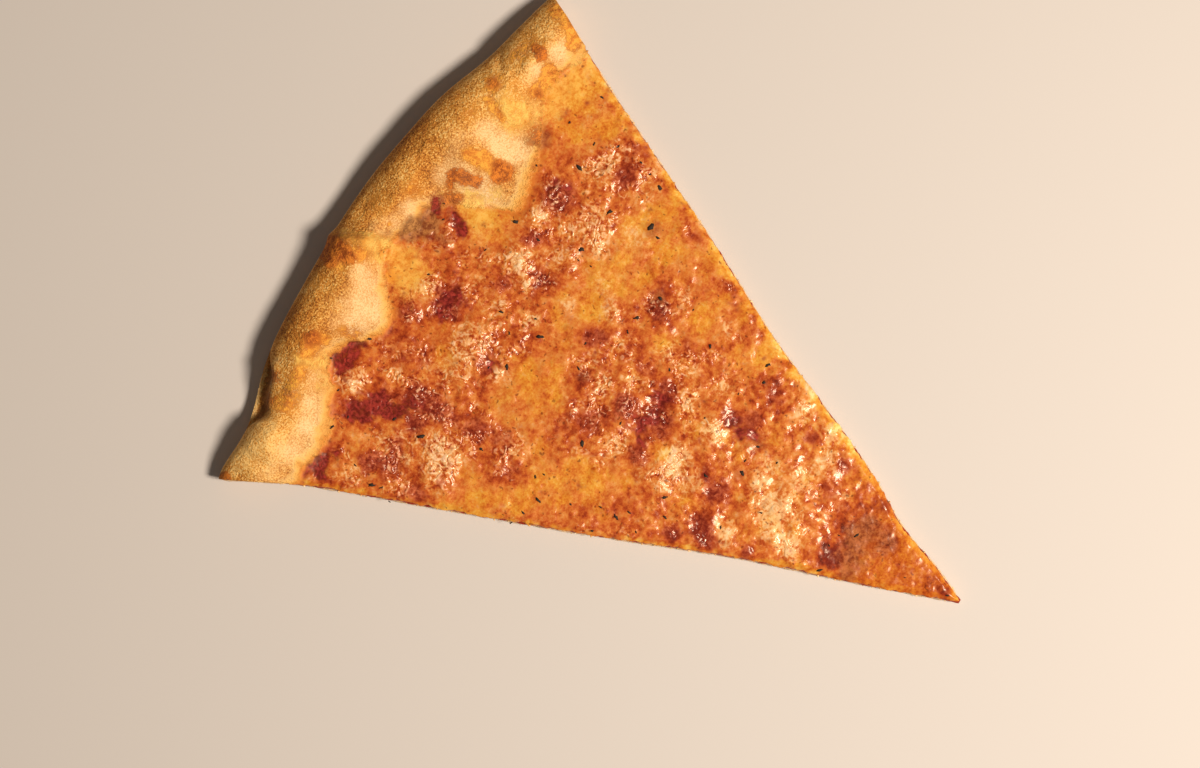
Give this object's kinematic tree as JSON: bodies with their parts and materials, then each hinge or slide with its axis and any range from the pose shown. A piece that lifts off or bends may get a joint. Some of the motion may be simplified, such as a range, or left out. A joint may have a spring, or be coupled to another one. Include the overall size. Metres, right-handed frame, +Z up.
{
  "type": "cheese pizza slice",
  "caption": "Wedge of thin-crust cheese pizza lying flat: dough slab with a puffed rim, a sheet of tomato sauce and baked cheese with herb flakes.",
  "frame": {"origin": "middle of the slice's box, on the level surface that it lies on", "axes": "+Z up, +Y from the pointed tip towards the rim, +X along the rim"},
  "size_m": [0.1902, 0.2362, 0.0195],
  "materials": {
    "baked_dough": "dry golden crust, fine grainy skin, pale crumb at the cuts",
    "tomato_sauce": "moist dark red",
    "baked_cheese": "oily orange and cream, with red-brown blisters and dark herb flakes"
  },
  "bodies": {
    "root": {"dough": "baked_dough", "sauce": "tomato_sauce", "cheese": "baked_cheese"}
  },
  "joints": []
}
